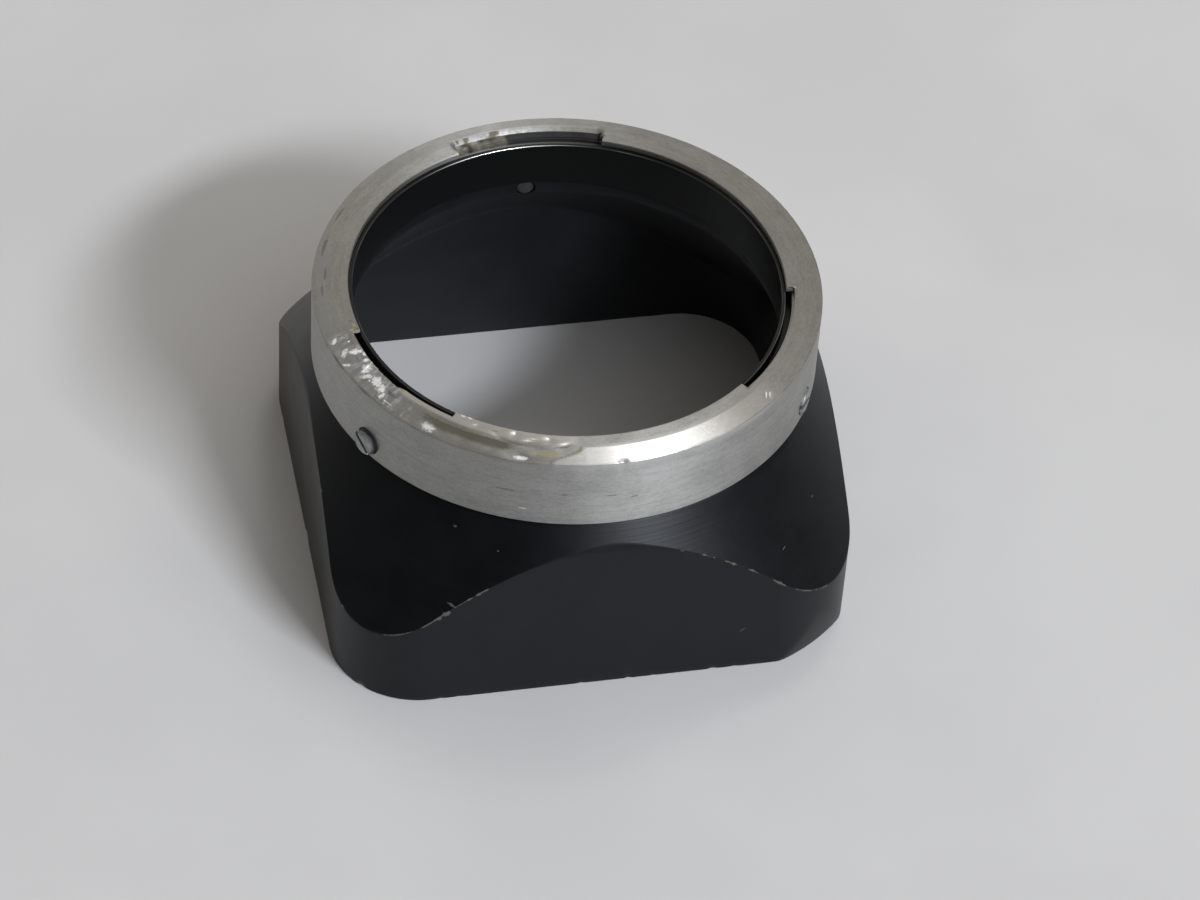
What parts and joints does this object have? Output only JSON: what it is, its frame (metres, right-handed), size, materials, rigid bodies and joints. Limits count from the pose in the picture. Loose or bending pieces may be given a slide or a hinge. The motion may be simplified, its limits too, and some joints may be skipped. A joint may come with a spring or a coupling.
{
  "type": "bayonet lens hood",
  "caption": "Square bayonet lens hood: a black shell with a rounded square mouth, a bare metal bayonet ring held by set screws, and a sprung ring that grips the lens.",
  "frame": {"origin": "centre of the front rim's plane, on the optical axis", "axes": "+Z along the optical axis from the square mouth towards the camera, -Y out of the front flat"},
  "size_m": [0.0434, 0.0434, 0.025],
  "materials": {
    "shell": "black anodised, satin",
    "ring": "bare, turned, worn",
    "sleeve": "black, worn edges",
    "spring": "spring strip",
    "screw": "turned steel"
  },
  "bodies": {
    "hood": {"hood_shell": "shell", "bayonet_ring": "ring", "wave_spring": "spring", "set_screw_1": "screw", "set_screw_2": "screw", "set_screw_3": "screw"},
    "pressure_ring": {"pressure_ring": "sleeve"}
  },
  "joints": [
    {"name": "pressure_ring_press", "type": "slide", "parent": "hood", "child": "pressure_ring", "axis": [0, 0, -1], "range_m": [0, 0.0009], "stiffness_N_per_m": 800, "springref_m": -0.001, "deforming": ["wave_spring"]}
  ]
}
